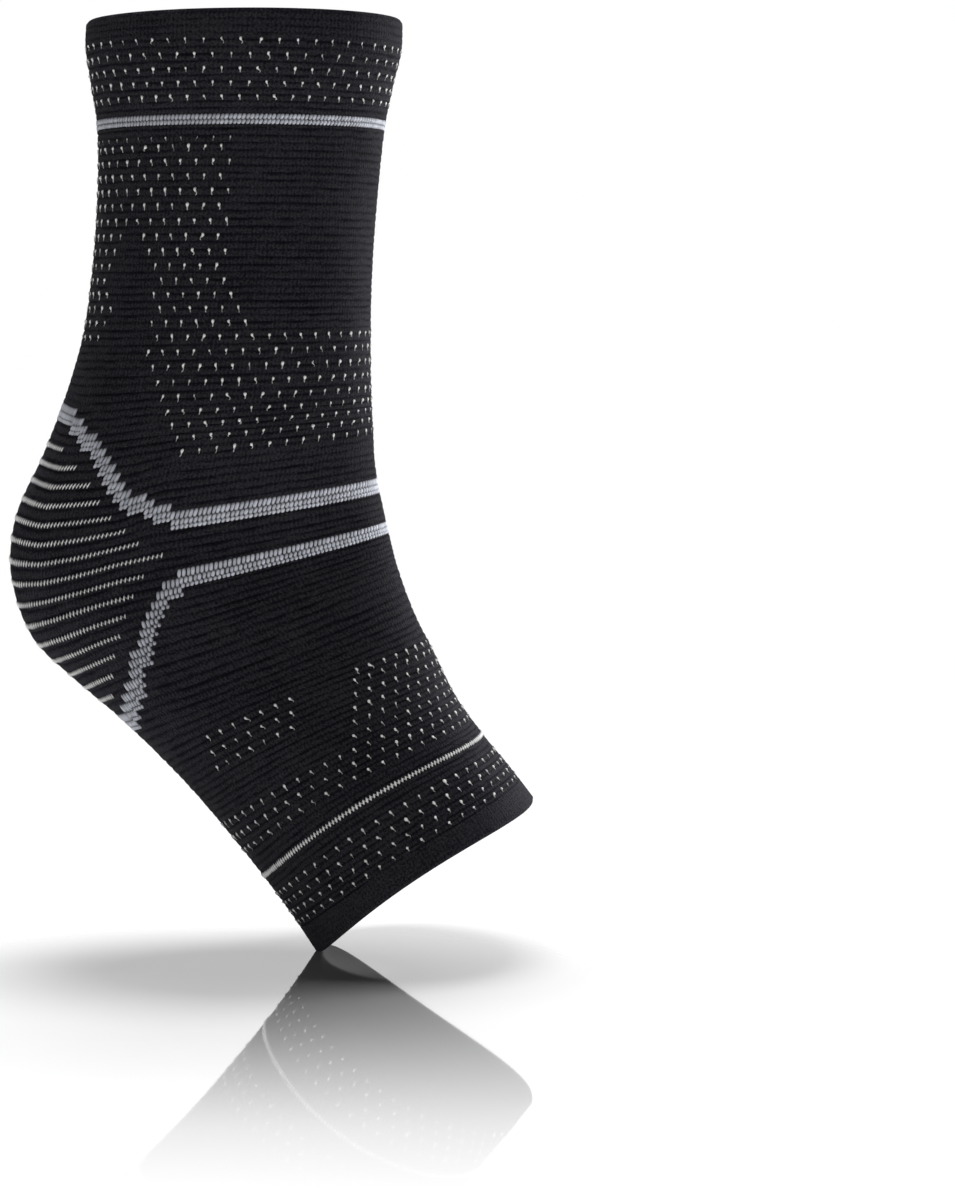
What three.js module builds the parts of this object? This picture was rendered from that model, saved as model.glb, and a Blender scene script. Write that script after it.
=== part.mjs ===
// Ankle compression sleeve: one seamless ribbed tube, open at the leg and at the toes, with a heel pocket,
// and the zones of grey yarn that are knitted into it.
// Millimetres. The origin is the centre of the ankle, +X points to the toes and +Z up the leg.
import * as THREE from 'three';

// Driving dimensions.
const SLEEVE_HEIGHT = 292.5; // lowest corner of the toe end to the rim of the cuff
const SLEEVE_LENGTH = 166.4; // back of the heel to the front of the toe end
const SLEEVE_WIDTH = 90; // across the cuff
const KNIT_WALL = 1.6; // one layer of the ribbed knit
const YARN_THICKNESS = 0.6; // one layer of the grey yarn
const PIECE_GAP = 0.3; // between the grey yarn and the knit under it

// The knit is counted in courses, down from the rim of the cuff, and in wales, round from the middle of the
// front along the near side. The far side mirrors the near one.
const COURSE_COUNT = 131.5;
const WALE_COUNT = 208;
const BACK_WALE = WALE_COUNT / 2;

// One row for each section of the knit. A section is a ring through a front and a back point.
// Positions are shares of SLEEVE_LENGTH for X, of SLEEVE_HEIGHT for Z and of SLEEVE_WIDTH for the half width
// and the bow, which lifts the sides of a section toward the leg. Egg moves its widest place to the front,
// and wall is a multiple of KNIT_WALL: the turned welt of the cuff is thicker.
const SECTION_COLUMNS =
  ['course', 'frontX', 'frontZ', 'backX', 'backZ', 'halfWidth', 'egg', 'bow', 'wall'];
const SECTION_ROWS = [
  [0, 0.378, 0.540, -0.210, 0.537, 0.500, 0, 0, 1.4],
  [3, 0.377, 0.517, -0.212, 0.518, 0.498, 0, 0, 1.4],
  [9, 0.360, 0.475, -0.203, 0.476, 0.480, 0, 0, 1],
  [15, 0.346, 0.437, -0.193, 0.436, 0.450, 0, 0, 1],
  [24, 0.332, 0.370, -0.193, 0.370, 0.433, 0.02, 0, 1],
  [35, 0.320, 0.284, -0.205, 0.284, 0.422, 0.05, 0, 1],
  [46, 0.316, 0.205, -0.230, 0.199, 0.411, 0.08, 0, 1],
  [54, 0.317, 0.146, -0.269, 0.132, 0.400, 0.08, 0, 1],
  [60.3, 0.320, 0.111, -0.309, 0.077, 0.389, 0.06, 0, 1],
  [66.5, 0.325, 0.066, -0.360, 0.014, 0.378, 0.03, 0, 1],
  [73, 0.341, 0.019, -0.369, -0.055, 0.370, 0, 0, 1],
  [79, 0.355, -0.015, -0.323, -0.123, 0.372, 0, 0, 1],
  [83, 0.364, -0.036, -0.258, -0.158, 0.378, 0, 0.006, 1],
  [90, 0.399, -0.091, -0.147, -0.212, 0.391, 0, 0.013, 1],
  [96, 0.433, -0.130, -0.065, -0.258, 0.405, 0, 0.049, 1],
  [106, 0.477, -0.181, 0.030, -0.318, 0.432, 0, 0.050, 1],
  [116, 0.535, -0.227, 0.120, -0.382, 0.458, 0, 0.066, 1],
  [124, 0.587, -0.263, 0.169, -0.420, 0.472, 0, 0.045, 1],
  [COURSE_COUNT, 0.626, -0.292, 0.212, -0.457, 0.480, 0, 0.066, 1.2],
];

// Over the heel pocket the fabric is stretched, and its courses are pulled out of the planes of the sections:
// one row for each course, one value for each wale, in courses toward the toes.
const PULL_WALES = [56, 66, 76, 86, 95, BACK_WALE];
const PULL_ROWS = [
  [49, 0, 0, 0, 0, 0, 0],
  [54, 0, 0, 0.4, 0.6, -0.1, -0.45],
  [60, 0, 0.5, 0.9, 0.85, 0.15, -0.3],
  [64, 0.1, 1.1, 1.1, 1, 0.2, -0.2],
  [68, 0.1, 0.9, 1.1, 1.1, 0.4, -0.1],
  [72, 0.15, 0.4, 0.9, 1.1, 0.9, 0.5],
  [76, 0, 0, 0.3, 0.7, 0.9, 0.9],
  [80, 0, -0.3, 0, 0.5, 0.75, 0.8],
  [84, 0, -0.2, -0.3, 0, 0.3, 0.35],
  [88, 0, 0, -0.2, -0.1, 0, 0],
  [92, 0, 0, 0, 0, 0, 0],
];

// How finely the knit is faceted.
const COLUMN_WALES = 4;
const COLUMN_COUNT = WALE_COUNT / COLUMN_WALES;
const OUTER_ROWS = 32;
const INNER_ROWS = 16;
const RIM_STEPS = 3;
const ARC_SAMPLES = 240;
const SLOPE_STEP = 0.5;

// The grey yarn zones, in courses and wales. A contour band is level round the front of the foot and climbs
// or falls in steps of one course beside the heel: its upper edge has a row for each turn.
const CUFF_STRIPE = { top: 14.9, bottom: 16.4 };
const TOE_STRIPE = { top: 114.55, bottom: 115.1 };
const BAND_COLUMNS = ['wale', 'course'];
const UPPER_BAND = {
  thickness: 2.1,
  edgeRows: [[0, 67.6], [52, 67.6], [58, 66.1], [66, 63], [74, 59], [80, 56.4], [88, 54], [BACK_WALE, 53.4]],
};
const LOWER_BAND = {
  thickness: 2.2,
  edgeRows: [[0, 74.4], [54, 74.6], [60, 76.8], [68, 80.9], [76, 84.1], [88, 87.6], [BACK_WALE, 89.4]],
};
const STEP_WALES = COLUMN_WALES / 2;

// Fifteen lines cross the heel pocket, each one from its tip on the near side round the back.
const HEEL_STRIPES = { firstCourse: 58.6, pitch: 1.97, height: 0.45 };
const HEEL_STRIPE_TIP_WALES = [88, 81, 75, 71, 67.5, 64, 61, 56, 61, 64.5, 68, 72, 77, 82, 88];

const COLOURS = { knit: 0x1c1c20, greyYarn: 0x989aa3, lightYarn: 0xc4c4c3 };
const YARN_ROUGHNESS = 0.85;

function namedRows(columns, rows) {
  return rows.map((row) => Object.fromEntries(columns.map((name, i) => [name, row[i]])));
}

// A smooth curve through the rows of a table, at one place along its first column.
function smoothRow(rows, along, place) {
  const last = rows.length - 1;
  const clamped = THREE.MathUtils.clamp(place, rows[0][along], rows[last][along]);
  let start = 0;
  while (start < last - 1 && rows[start + 1][along] <= clamped) {
    start += 1;
  }
  const step = rows[start + 1][along] - rows[start][along];
  const t = (clamped - rows[start][along]) / step;
  const result = {};
  for (const name of Object.keys(rows[0])) {
    const from = rows[start][name];
    const to = rows[start + 1][name];
    const leave = rowSlope(rows, along, name, start) * step;
    const arrive = rowSlope(rows, along, name, start + 1) * step;
    result[name] = from + t * leave
      + t * t * (3 * (to - from) - 2 * leave - arrive)
      + t * t * t * (leave + arrive - 2 * (to - from));
  }
  return result;
}

// The slope of a column at a row, from the rows on both sides of it.
function rowSlope(rows, along, name, index) {
  const before = Math.max(index - 1, 0);
  const after = Math.min(index + 1, rows.length - 1);
  const rise = (low, high) => (rows[high][name] - rows[low][name]) / (rows[high][along] - rows[low][along]);
  if (before === index || after === index) {
    return rise(before, after);
  }
  const stepBefore = rows[index][along] - rows[before][along];
  const stepAfter = rows[after][along] - rows[index][along];
  return (rise(before, index) * stepAfter + rise(index, after) * stepBefore) / (stepBefore + stepAfter);
}

// Straight lines between the rows of a table.
function straightValue(rows, along, name, place) {
  const after = Math.max(1, rows.findIndex((row) => row[along] >= place));
  const low = rows[after - 1];
  const high = rows[after];
  return THREE.MathUtils.mapLinear(place, low[along], high[along], low[name], high[name]);
}

const SECTIONS = namedRows(SECTION_COLUMNS, SECTION_ROWS);
const PULLS = namedRows(['course', ...PULL_WALES], PULL_ROWS);

// A point of a section. The angle starts at the front and turns past the near side, at -Y, to the back.
function sectionPoint(section, angle) {
  const front = new THREE.Vector3(section.frontX * SLEEVE_LENGTH, 0, section.frontZ * SLEEVE_HEIGHT);
  const back = new THREE.Vector3(section.backX * SLEEVE_LENGTH, 0, section.backZ * SLEEVE_HEIGHT);
  const halfDepth = front.clone().sub(back).multiplyScalar(0.5);
  const towardLeg = new THREE.Vector3(-halfDepth.z, 0, halfDepth.x).normalize();
  const forward = Math.cos(angle);
  const sideways = Math.sin(angle);
  const point = front.clone().add(back).multiplyScalar(0.5);
  point.addScaledVector(halfDepth, forward);
  point.addScaledVector(towardLeg, section.bow * SLEEVE_WIDTH * sideways * sideways);
  point.y = -section.halfWidth * SLEEVE_WIDTH * sideways * (1 + section.egg * forward);
  return point;
}

// The points of one course at every column, equally far apart along the knit.
function coursePoints(course) {
  const section = smoothRow(SECTIONS, 'course', course);
  const angleAt = (sample) => (sample / ARC_SAMPLES) * 2 * Math.PI;
  const lengths = [0];
  let previous = sectionPoint(section, 0);
  for (let sample = 1; sample <= ARC_SAMPLES; sample += 1) {
    const next = sectionPoint(section, angleAt(sample));
    lengths.push(lengths[sample - 1] + next.distanceTo(previous));
    previous = next;
  }
  const points = [];
  let sample = 1;
  for (let column = 0; column < COLUMN_COUNT; column += 1) {
    const target = (column / COLUMN_COUNT) * lengths[ARC_SAMPLES];
    while (lengths[sample] < target) {
      sample += 1;
    }
    const share = (target - lengths[sample - 1]) / (lengths[sample] - lengths[sample - 1]);
    points.push(sectionPoint(section, angleAt(sample - 1 + share)));
  }
  return points;
}

// One course as the rows of the mesh need it: its points, the way out of the knit at each and its wall.
function knitRow(course) {
  const points = coursePoints(course);
  const above = coursePoints(Math.max(course - SLOPE_STEP, 0));
  const below = coursePoints(Math.min(course + SLOPE_STEP, COURSE_COUNT));
  const downs = points.map((point, column) => below[column].clone().sub(above[column]).normalize());
  const outs = points.map((point, column) => {
    const next = points[(column + 1) % COLUMN_COUNT];
    const before = points[(column + COLUMN_COUNT - 1) % COLUMN_COUNT];
    return next.clone().sub(before).cross(downs[column]).normalize();
  });
  const wall = smoothRow(SECTIONS, 'course', course).wall * KNIT_WALL;
  return { course, points, downs, outs, wall };
}

function evenRows(count) {
  const rows = [];
  for (let row = 0; row <= count; row += 1) {
    rows.push(knitRow((row / count) * COURSE_COUNT));
  }
  return rows;
}

const OUTER = evenRows(OUTER_ROWS);

// A point over the faceted knit, lifted along the way out of it.
function knitPoint(course, wale, lift) {
  const row = THREE.MathUtils.clamp((course / COURSE_COUNT) * OUTER_ROWS, 0, OUTER_ROWS);
  const upper = Math.min(Math.floor(row), OUTER_ROWS - 1);
  const column = ((wale + WALE_COUNT) % WALE_COUNT) / COLUMN_WALES;
  const left = Math.floor(column);
  const right = (left + 1) % COLUMN_COUNT;
  const blend = (list) => {
    const top = OUTER[upper][list][left].clone().lerp(OUTER[upper][list][right], column - left);
    const bottom = OUTER[upper + 1][list][left].clone().lerp(OUTER[upper + 1][list][right], column - left);
    return top.lerp(bottom, row - upper);
  };
  return blend('points').addScaledVector(blend('outs').normalize(), lift);
}

function geometryFrom(points, triangles) {
  const geometry = new THREE.BufferGeometry();
  geometry.setAttribute('position', new THREE.Float32BufferAttribute(points.flatMap((p) => p.toArray()), 3));
  geometry.setIndex(triangles.flat());
  geometry.computeVertexNormals();
  return geometry;
}

// A ring of points across the wall: depth 0 is the outer face, 1 the inner, and beyond lengthens the tube.
function wallRing(row, depth, beyond) {
  return row.points.map((point, column) => point.clone()
    .addScaledVector(row.outs[column], -depth * row.wall)
    .addScaledVector(row.downs[column], beyond));
}

// The rounded rim of one end, from one face of the wall to the other.
function rimRings(row, direction) {
  const rings = [];
  for (let step = 1; step < RIM_STEPS; step += 1) {
    const angle = (step / RIM_STEPS) * Math.PI;
    const depth = (1 - Math.cos(angle)) / 2;
    rings.push(wallRing(row, direction > 0 ? depth : 1 - depth, direction * Math.sin(angle) * row.wall / 2));
  }
  return rings;
}

// The whole knit: down the outside, round the toe rim, up the inside and round the rim of the cuff.
function knitSleeveGeometry() {
  const inner = evenRows(INNER_ROWS).reverse();
  const rings = [
    ...OUTER.map((row) => wallRing(row, 0, 0)),
    ...rimRings(OUTER[OUTER_ROWS], 1),
    ...inner.map((row) => wallRing(row, 1, 0)),
    ...rimRings(OUTER[0], -1),
  ];
  const triangles = [];
  rings.forEach((ring, index) => {
    const here = index * COLUMN_COUNT;
    const below = ((index + 1) % rings.length) * COLUMN_COUNT;
    for (let column = 0; column < COLUMN_COUNT; column += 1) {
      const next = (column + 1) % COLUMN_COUNT;
      triangles.push([here + column, here + next, below + next]);
      triangles.push([here + column, below + next, below + column]);
    }
  });
  return geometryFrom(rings.flat(), triangles);
}

// The courses at which the upright edges between two columns of a zone have a corner.
function cornerCourses(before, after) {
  const courses = [before, after].filter(Boolean).flatMap((column) => [column.top, column.bottom]);
  return [...new Set(courses)].sort((a, b) => a - b);
}

// How far a course is pulled at one wale.
function pocketPull(course, wale) {
  const fromFront = Math.min(wale, WALE_COUNT - wale);
  const row = smoothRow(PULLS, 'course', course);
  return straightValue(PULL_WALES.map((place) => ({ wale: place, pull: row[place] })), 'wale', 'pull',
    Math.max(fromFront, PULL_WALES[0]));
}

// A closed solid over the knit, for yarn that fills the given columns, each from its top course to its
// bottom one. The columns follow each other round the sleeve, and close up if they go all the way round.
function yarnGeometry(columns) {
  const closed = columns.at(-1).to - columns[0].from === WALE_COUNT;
  const levels = { low: PIECE_GAP, high: PIECE_GAP + YARN_THICKNESS };
  const points = [];
  const indices = new Map();
  const triangles = [];
  const corner = (wale, course, level) => {
    const key = `${wale % WALE_COUNT} ${course} ${level}`;
    if (!indices.has(key)) {
      indices.set(key, points.length);
      points.push(knitPoint(course + pocketPull(course, wale), wale, levels[level]));
    }
    return indices.get(key);
  };
  const quad = (a, b, c, d) => triangles.push([a, b, c], [a, c, d]);
  const face = (column, left, right, level) => {
    let i = 0;
    let j = 0;
    while (i < left.length - 1 || j < right.length - 1) {
      const alongLeft = j === right.length - 1 || (i < left.length - 1 && left[i + 1] <= right[j + 1]);
      const triangle = [
        corner(column.from, left[i], level),
        corner(column.to, right[j], level),
        alongLeft ? corner(column.from, left[i + 1], level) : corner(column.to, right[j + 1], level),
      ];
      triangles.push(level === 'high' ? triangle : triangle.reverse());
      i += alongLeft ? 1 : 0;
      j += alongLeft ? 0 : 1;
    }
  };
  const neighbour = (index, step) => {
    const other = index + step;
    return closed ? columns[(other + columns.length) % columns.length] : columns[other];
  };
  const side = (wale, courses, filled, other, turn) => {
    for (let i = 0; i < courses.length - 1; i += 1) {
      const middle = (courses[i] + courses[i + 1]) / 2;
      const covered = other && middle > other.top && middle < other.bottom;
      if (middle > filled.top && middle < filled.bottom && !covered) {
        const ring = [
          corner(wale, courses[i], 'low'),
          corner(wale, courses[i + 1], 'low'),
          corner(wale, courses[i + 1], 'high'),
          corner(wale, courses[i], 'high'),
        ];
        quad(...(turn > 0 ? ring : ring.reverse()));
      }
    }
  };
  columns.forEach((column, index) => {
    const within = (course) => course >= column.top && course <= column.bottom;
    const leftCourses = cornerCourses(neighbour(index, -1), column);
    const rightCourses = cornerCourses(column, neighbour(index, 1));
    face(column, leftCourses.filter(within), rightCourses.filter(within), 'high');
    face(column, leftCourses.filter(within), rightCourses.filter(within), 'low');
    side(column.from, leftCourses, column, neighbour(index, -1), -1);
    side(column.to, rightCourses, column, neighbour(index, 1), 1);
    const edge = (course) => [
      corner(column.from, course, 'low'),
      corner(column.to, course, 'low'),
      corner(column.to, course, 'high'),
      corner(column.from, course, 'high'),
    ];
    quad(...edge(column.top));
    quad(...edge(column.bottom).reverse());
  });
  return geometryFrom(points, triangles);
}

// A stripe of even height, from one wale to another.
function stripeColumns(top, bottom, firstWale, lastWale) {
  const columns = [];
  let from = firstWale;
  while (from < lastWale) {
    const to = Math.min((Math.floor(from / COLUMN_WALES) + 1) * COLUMN_WALES, lastWale);
    columns.push({ from, to, top, bottom });
    from = to;
  }
  return columns;
}

// A contour band: its edge is rounded to whole courses below its level stretch, which makes the steps.
function bandColumns(band) {
  const rows = namedRows(BAND_COLUMNS, band.edgeRows);
  const level = rows[0].course;
  const topAt = (wale) => {
    const fromFront = Math.min(wale, WALE_COUNT - wale);
    return level + Math.round(straightValue(rows, 'wale', 'course', fromFront) - level);
  };
  const columns = [];
  for (let from = 0; from < WALE_COUNT; from += STEP_WALES) {
    const top = topAt(from + STEP_WALES / 2);
    const last = columns.at(-1);
    const samePlate = last && last.top === top && from % COLUMN_WALES !== 0;
    if (samePlate) {
      last.to = from + STEP_WALES;
    } else {
      columns.push({ from, to: from + STEP_WALES, top, bottom: top + band.thickness });
    }
  }
  return columns;
}

function yarnMaterial(colour) {
  return new THREE.MeshStandardMaterial({ color: colour, roughness: YARN_ROUGHNESS, metalness: 0 });
}

function namedMesh(name, geometry, material) {
  const mesh = new THREE.Mesh(geometry, material);
  mesh.name = name;
  return mesh;
}

function heelStripeMeshes(material) {
  return HEEL_STRIPE_TIP_WALES.map((tip, index) => {
    const middle = HEEL_STRIPES.firstCourse + index * HEEL_STRIPES.pitch;
    const top = middle - HEEL_STRIPES.height / 2;
    const columns = stripeColumns(top, top + HEEL_STRIPES.height, tip, WALE_COUNT - tip);
    const number = String(index + 1).padStart(2, '0');
    return namedMesh(`heel_stripe_${number}`, yarnGeometry(columns), material);
  });
}

function ringStripe(name, stripe, material) {
  return namedMesh(name, yarnGeometry(stripeColumns(stripe.top, stripe.bottom, 0, WALE_COUNT)), material);
}

const sleeve = new THREE.Group();
sleeve.name = 'ankle_compression_sleeve';
const greyYarn = yarnMaterial(COLOURS.greyYarn);
const lightYarn = yarnMaterial(COLOURS.lightYarn);
sleeve.add(namedMesh('knit_sleeve', knitSleeveGeometry(), yarnMaterial(COLOURS.knit)));
sleeve.add(ringStripe('cuff_stripe', CUFF_STRIPE, greyYarn));
sleeve.add(namedMesh('upper_contour_band', yarnGeometry(bandColumns(UPPER_BAND)), greyYarn));
sleeve.add(namedMesh('lower_contour_band', yarnGeometry(bandColumns(LOWER_BAND)), greyYarn));
sleeve.add(ringStripe('toe_stripe', TOE_STRIPE, lightYarn));
sleeve.add(...heelStripeMeshes(lightYarn));

export default sleeve;
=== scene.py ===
import math

import bpy
import numpy as np
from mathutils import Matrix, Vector


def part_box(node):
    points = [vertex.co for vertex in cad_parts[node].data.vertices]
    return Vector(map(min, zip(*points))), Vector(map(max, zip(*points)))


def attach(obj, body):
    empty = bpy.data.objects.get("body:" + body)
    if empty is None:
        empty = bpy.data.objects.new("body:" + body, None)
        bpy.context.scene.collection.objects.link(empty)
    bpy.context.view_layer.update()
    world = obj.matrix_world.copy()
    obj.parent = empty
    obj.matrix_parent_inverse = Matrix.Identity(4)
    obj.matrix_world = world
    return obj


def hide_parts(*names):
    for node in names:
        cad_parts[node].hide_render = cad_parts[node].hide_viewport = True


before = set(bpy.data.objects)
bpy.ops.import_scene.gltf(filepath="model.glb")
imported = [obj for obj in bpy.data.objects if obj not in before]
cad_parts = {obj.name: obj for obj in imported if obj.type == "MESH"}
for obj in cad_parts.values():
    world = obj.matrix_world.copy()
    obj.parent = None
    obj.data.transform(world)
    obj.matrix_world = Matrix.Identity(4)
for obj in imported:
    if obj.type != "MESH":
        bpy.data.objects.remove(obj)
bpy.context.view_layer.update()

KNIT_LOW, KNIT_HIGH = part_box("knit_sleeve")
MM = 0.001

# Driving sizes: the extents are those of the frame, the thicknesses those of the CAD and of real ribs.
SLEEVE_LENGTH = KNIT_HIGH.x - KNIT_LOW.x
SLEEVE_WIDTH = KNIT_HIGH.y - KNIT_LOW.y
SLEEVE_HEIGHT = KNIT_HIGH.z - KNIT_LOW.z
KNIT_WALL = 1.6 * MM
RIB_HEIGHT = 0.36 * MM
INNER_RIB_HEIGHT = 0.2 * MM

# The knit is counted in courses, down from the rim of the cuff, and in wales, round from the middle of the
# front along the near side. The far side mirrors the near one.
COURSE_COUNT = 131.5
WALE_COUNT = 208
BACK_WALE = WALE_COUNT // 2

# The sections of the knit, as in the CAD: course, front X and Z, back X and Z, half width, egg, bow, wall.
# X is a share of SLEEVE_LENGTH, Z of SLEEVE_HEIGHT, half width and bow of SLEEVE_WIDTH, wall of KNIT_WALL.
SECTIONS = np.array([
    [0, 0.378, 0.540, -0.210, 0.537, 0.500, 0, 0, 1.4],
    [3, 0.377, 0.517, -0.212, 0.518, 0.498, 0, 0, 1.4],
    [9, 0.360, 0.475, -0.203, 0.476, 0.480, 0, 0, 1],
    [15, 0.346, 0.437, -0.193, 0.436, 0.450, 0, 0, 1],
    [24, 0.332, 0.370, -0.193, 0.370, 0.433, 0.02, 0, 1],
    [35, 0.320, 0.284, -0.205, 0.284, 0.422, 0.05, 0, 1],
    [46, 0.316, 0.205, -0.230, 0.199, 0.411, 0.08, 0, 1],
    [54, 0.317, 0.146, -0.269, 0.132, 0.400, 0.08, 0, 1],
    [60.3, 0.320, 0.111, -0.309, 0.077, 0.389, 0.06, 0, 1],
    [66.5, 0.325, 0.066, -0.360, 0.014, 0.378, 0.03, 0, 1],
    [73, 0.341, 0.019, -0.369, -0.055, 0.370, 0, 0, 1],
    [79, 0.355, -0.015, -0.323, -0.123, 0.372, 0, 0, 1],
    [83, 0.364, -0.036, -0.258, -0.158, 0.378, 0, 0.006, 1],
    [90, 0.399, -0.091, -0.147, -0.212, 0.391, 0, 0.013, 1],
    [96, 0.433, -0.130, -0.065, -0.258, 0.405, 0, 0.049, 1],
    [106, 0.477, -0.181, 0.030, -0.318, 0.432, 0, 0.050, 1],
    [116, 0.535, -0.227, 0.120, -0.382, 0.458, 0, 0.066, 1],
    [124, 0.587, -0.263, 0.169, -0.420, 0.472, 0, 0.045, 1],
    [COURSE_COUNT, 0.626, -0.292, 0.212, -0.457, 0.480, 0, 0.066, 1.2],
])

# Over the heel pocket the courses are pulled out of the planes of the sections: one row for each course, one
# value for each wale, in courses toward the toes.
PULL_WALES = [56, 66, 76, 86, 95, BACK_WALE]
PULLS = np.array([
    [49, 0, 0, 0, 0, 0, 0],
    [54, 0, 0, 0.4, 0.6, -0.1, -0.45],
    [60, 0, 0.5, 0.9, 0.85, 0.15, -0.3],
    [64, 0.1, 1.1, 1.1, 1, 0.2, -0.2],
    [68, 0.1, 0.9, 1.1, 1.1, 0.4, -0.1],
    [72, 0.15, 0.4, 0.9, 1.1, 0.9, 0.5],
    [76, 0, 0, 0.3, 0.7, 0.9, 0.9],
    [80, 0, -0.3, 0, 0.5, 0.75, 0.8],
    [84, 0, -0.2, -0.3, 0, 0.3, 0.35],
    [88, 0, 0, -0.2, -0.1, 0, 0],
    [92, 0, 0, 0, 0, 0, 0],
])

# The knit is made in rings that meet in the valleys between ribs: name, first course, last course.
KNIT_RINGS = [
    ["knit_cuff", 0, 15],
    ["knit_leg", 15, 58],
    ["knit_heel", 58, 96],
    ["knit_foot", 96, COURSE_COUNT],
]
OUTER_STEPS = 6
INNER_STEPS = 2
RIM_STEPS = 8
WELT_COURSE = 3.3
HEM_COURSE = 126.2
WELT_RIB_SHARE = 0.35
HEM_RIB_SHARE = 0.12
CREST_WIDTH = 0.4
VALLEY_WANDER = 0.14
VALLEY_DEPTH_SPREAD = 0.6
STITCH_DEPTH_SPREAD = 0.4
NOISE_WALES = 4
RIB_UNEVENNESS = 0.12
ROUNDING = 1e-6

# Grey yarn zones, in courses and wales, as in the CAD.
CUFF_STRIPE_TOP = 14.9
TOE_STRIPE_COURSE = 114.8
BAND_EDGES = {
    "upper_contour_band": [
        [0, 67.6], [52, 67.6], [58, 66.1], [66, 63], [74, 59], [80, 56.4], [88, 54], [BACK_WALE, 53.4]],
    "lower_contour_band": [
        [0, 74.4], [54, 74.6], [60, 76.8], [68, 80.9], [76, 84.1], [88, 87.6], [BACK_WALE, 89.4]],
}
STEP_WALES = 2

# The rows of stitches of each zone, as courses below its upper edge.
STITCH_ROWS = {
    "cuff_stripe": [0, 0.8, 1.5],
    "upper_contour_band": [0, 0.95, 1.65, 2.1],
    "lower_contour_band": [0, 1, 1.75, 2.2],
}

# How light the yarn of a zone is. Toward the back it is painted darker, as painted shade for the dimmer light
# there: wale from the front, tone.
ZONE_TONES = {"cuff_stripe": 0.85, "upper_contour_band": 1, "lower_contour_band": 1}
BACK_SIDE_SHADE = np.array([[0, 1], [25, 1], [38, 0.88], [52, 0.82], [60, 0.62], [BACK_WALE, 0.58]])

# A stitch is two lengths of yarn, one that shows and one that backs it: lean in wales, overlap in rows, half
# width, half thickness and lift in MM, tone.
# A tone of 0 paints the backing length in the dark colour of the joints: painted shade.
STITCH_LAYERS = [
    [0.75, 0.05, 0.54, 0.36, 0.2, 1],
    [0, 0.05, 0.62, 0.14, 0.03, 0],
]
STITCH_SPREAD = {"place": 0.05, "lift": 0.04, "width": 0.08, "tone": 0.15}
STITCH_STEPS = 6
STITCH_END_SHARE = 0.35

# The strokes of a thin line of yarn: centre and reach in wales, drop in courses, radius in MM.
STROKES = [
    [0.35, 0.44, 0.66, 0.22],
    [0.85, 0.6, -0.4, 0.11],
]
STROKE_STEPS = 5
STROKE_LIFT = 0.1
STROKE_SPREAD = {"drop": 0.08, "lift": 0.02, "width": 0.12}
TOE_STRIPE_SIZE = 1.35
HEEL_STRIPE_SIZE = 0.9
HEEL_STRIPES = {"first": 58.6, "pitch": 1.97}
HEEL_STRIPE_TIPS = [88, 81, 75, 71, 67.5, 64, 61, 56, 61, 64.5, 68, 72, 77, 82, 88]

# Rows of light floats, every fourth wale and staggered by two: course, then pairs of first and last wale.
CUFF_DOT_COURSES = [4, 6.05, 8.1, 10.15, 12.3]
DOT_WALES = 4
LEG_DOTS = {"first": 19.5, "pitch": 1.957}
LEG_DOT_GROUPS = [
    [(52, 104)], [(50, 102)], [(52, 104)], [(50, 102)], [(52, 104)], [(50, 102)],
    [(52, 72), (80, 104)], [(50, 70), (82, 102)], [(52, 68), (84, 104)], [(50, 66), (86, 102)],
    [(48, 68), (84, 104)], [(46, 66), (82, 102)], [(44, 68), (84, 104)], [(2, 66), (86, 102)],
    [(0, 68)], [(2, 66)], [(0, 64)], [(2, 62)], [(0, 60)], [(2, 58)], [(0, 56)], [(2, 54)],
]
FAINT_DOT_ROW = {"course": 18.3, "group": (50, 102), "size": 0.55}
ARCH_DOTS = {"first": 94.7, "pitch": 2.05}
ARCH_DOT_GROUPS = [(48, 72), (50, 74), (52, 76)]
INSTEP_DOT_ROW = {"course": 94.3, "group": (2, 30)}
FOOT_DOTS = {"first": 95.8, "pitch": 2.1}
FOOT_DOT_GROUPS = [(0, 32), (2, 34), (0, 36), (2, 38), (0, 40), (2, 102), (0, 104), (2, 102)]
TOE_DOTS = {"first": 118.5, "pitch": 2.13, "rows": 4}

# A float is a round head and a thin tail. Each of its measures has a mean and a spread: lean and bend in
# wales, length in courses, thickness as a share of FLOAT_RADIUS.
FLOAT_RADIUS = 0.37 * MM
FLOAT_LIFT = 0.1 * MM
FLOAT_FLATNESS = 0.8
FLOAT_PROFILE = [0.4, 0.95, 1, 0.72, 0.45, 0.36, 0.42, 0.2]
FLOAT_HEAD = {"wale": 0.4, "course": 0.42}
FLOAT_LEAN = (0, 0.2)
FLOAT_BEND = (0.05, 0.12)
FLOAT_LENGTH = (0.95, 0.12)
FLOAT_THICKNESS = (1, 0.18)
SMALL_FLOAT_LENGTH = 0.4
BRIGHTEST_FLOAT = 1.1
YARN_SIDES = 6

# Surfaces. A noise is its scale, per metre, and its detail. Tones and reliefs weigh what a surface is made
# of. A bump is its strength and depth.
KNIT_FUZZ = (1700, 3)
KNIT_PATCHES = (45, 4)
LOOP_SLANT = 0.7
KNIT_RELIEF = {"loops": 0.15, "fuzz": 1}
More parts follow.
